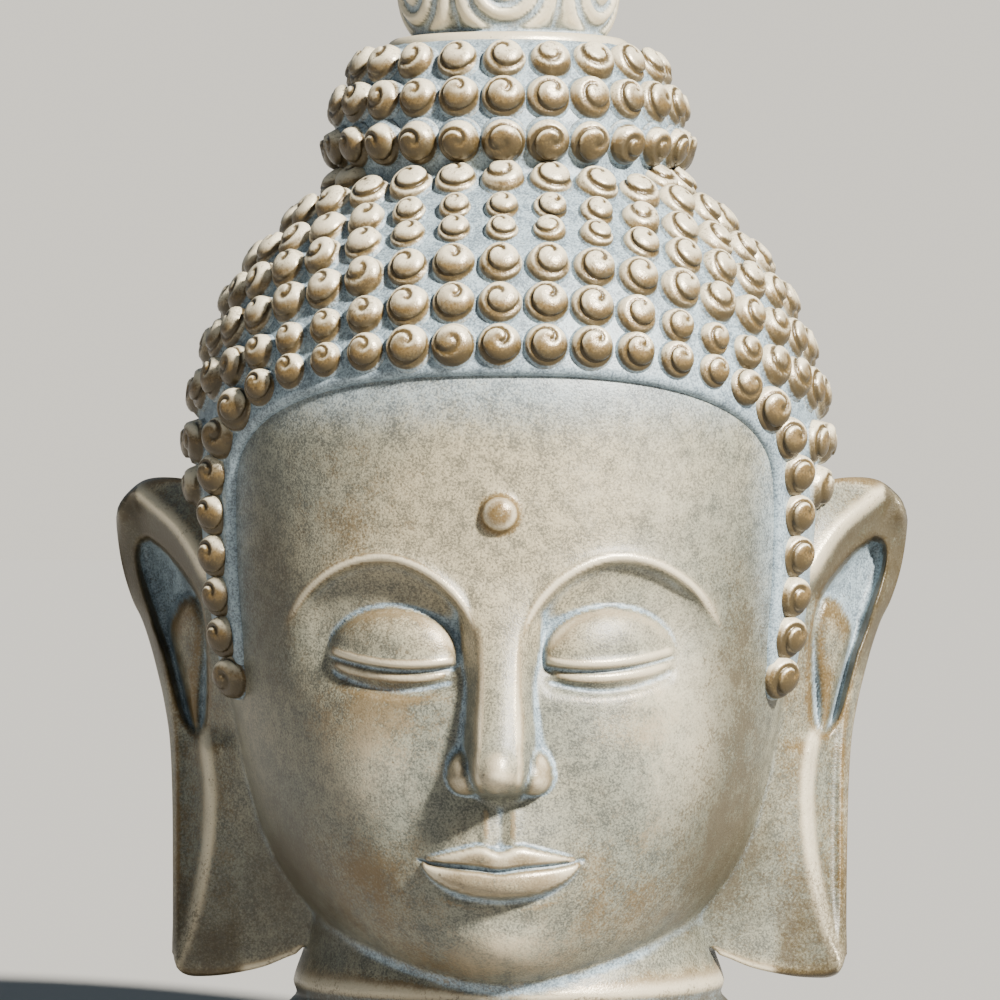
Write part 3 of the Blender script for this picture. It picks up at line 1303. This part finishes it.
class HEAD_OT_stage(bpy.types.Operator):
    """Lay a plain pale floor, set the light and place the camera"""

    bl_idname = "buddha_head.stage"
    bl_label = "Studio"
    bl_options = {"REGISTER", "UNDO"}

    def execute(self, context):
        studio = context.scene.head_studio
        bpy.ops.object.select_all(action="DESELECT")
        bpy.ops.mesh.primitive_circle_add(vertices=96, radius=FLOOR_RADIUS, fill_type="NGON")
        floor = bpy.context.object
        floor.name = "floor"
        paint = bpy.data.materials.new("pale_floor")
        paint.use_nodes = True
        shader = paint.node_tree.nodes["Principled BSDF"]
        shader.inputs["Base Color"].default_value = (*studio.floor_colour, 1)
        shader.inputs["Roughness"].default_value = 0.9
        floor.data.materials.append(paint)
        bpy.ops.object.light_add(type="SUN", location=(1, -1.4, 2))
        key = bpy.context.object
        key.name = "key_light"
        key.data.energy = studio.key_strength
        key.data.angle = KEY_SPREAD
        key.data.color = studio.key_colour
        shines = Vector(KEY_SHINES).normalized()
        key.rotation_euler = shines.to_track_quat("-Z", "Y").to_euler()
        world = bpy.data.worlds.new("studio_air")
        world.use_nodes = True
        air = world.node_tree.nodes["Background"]
        air.inputs["Color"].default_value = (*studio.air_colour, 1)
        air.inputs["Strength"].default_value = studio.air_strength
        # The camera sees the air in the colour of the lit floor, so that no horizon shows.
        sunlit = studio.key_strength * -shines.z / math.pi
        lit = [tone * (sunlit * key_tone + studio.air_strength * air_tone) for tone, key_tone, air_tone
               in zip(studio.floor_colour, studio.key_colour, studio.air_colour)]
        tree = world.node_tree
        seen = place(tree, "ShaderNodeBackground", Color=(*lit, 1), Strength=1.0)
        rays = place(tree, "ShaderNodeLightPath")
        both = place(tree, "ShaderNodeMixShader", Fac=rays.outputs["Is Camera Ray"], i1=air.outputs[0],
                     i2=seen.outputs[0])
        tree.links.new(both.outputs[0], tree.nodes["World Output"].inputs["Surface"])
        context.scene.world = world
        place_camera(context)
        return {"FINISHED"}


def place_camera(context):
    """A long lens, level with the middle of the head and a little to its left side."""
    back = Vector((math.sin(CAMERA_AZIMUTH), -math.cos(CAMERA_AZIMUTH), 0))
    bpy.ops.object.camera_add(
        location=Vector(CAMERA_AIM) + CAMERA_AWAY * back, rotation=(math.radians(90), 0, CAMERA_AZIMUTH))
    camera = bpy.context.object
    camera.data.lens = LENS
    camera.data.sensor_width = SENSOR_WIDTH
    context.scene.camera = camera


class HEAD_PT_tools(bpy.types.Panel):
    """Lists the pieces of the head and what can change about them"""

    bl_idname = "HEAD_PT_tools"
    bl_label = "Buddha Head"
    bl_space_type = "VIEW_3D"
    bl_region_type = "UI"
    bl_category = "Buddha Head"

    def draw(self, context):
        for title, name in (("Sizes", "head_sizes"), ("Colours", "head_colours"), ("Studio", "head_studio")):
            settings = getattr(context.scene, name)
            box = self.layout.box()
            box.label(text=title)
            for key in settings.__annotations__:
                box.prop(settings, key)
        for operator in OPERATORS:
            self.layout.operator(operator.bl_idname)


SETTINGS = (HeadSizes, HeadColours, StudioSettings)
OPERATORS = (HEAD_OT_face, HEAD_OT_hair, HEAD_OT_bud, HEAD_OT_stage)
CLASSES = SETTINGS + OPERATORS + (HEAD_PT_tools,)


def register():
    for cls in CLASSES:
        bpy.utils.register_class(cls)
    bpy.types.Scene.head_sizes = bpy.props.PointerProperty(type=HeadSizes)
    bpy.types.Scene.head_colours = bpy.props.PointerProperty(type=HeadColours)
    bpy.types.Scene.head_studio = bpy.props.PointerProperty(type=StudioSettings)


def unregister():
    del bpy.types.Scene.head_sizes
    del bpy.types.Scene.head_colours
    del bpy.types.Scene.head_studio
    for cls in reversed(CLASSES):
        bpy.utils.unregister_class(cls)


def main():
    register()
    bpy.ops.buddha_head.face()
    bpy.ops.buddha_head.hair()
    bpy.ops.buddha_head.bud()
    bpy.ops.buddha_head.stage()


if __name__ == "__main__":
    main()
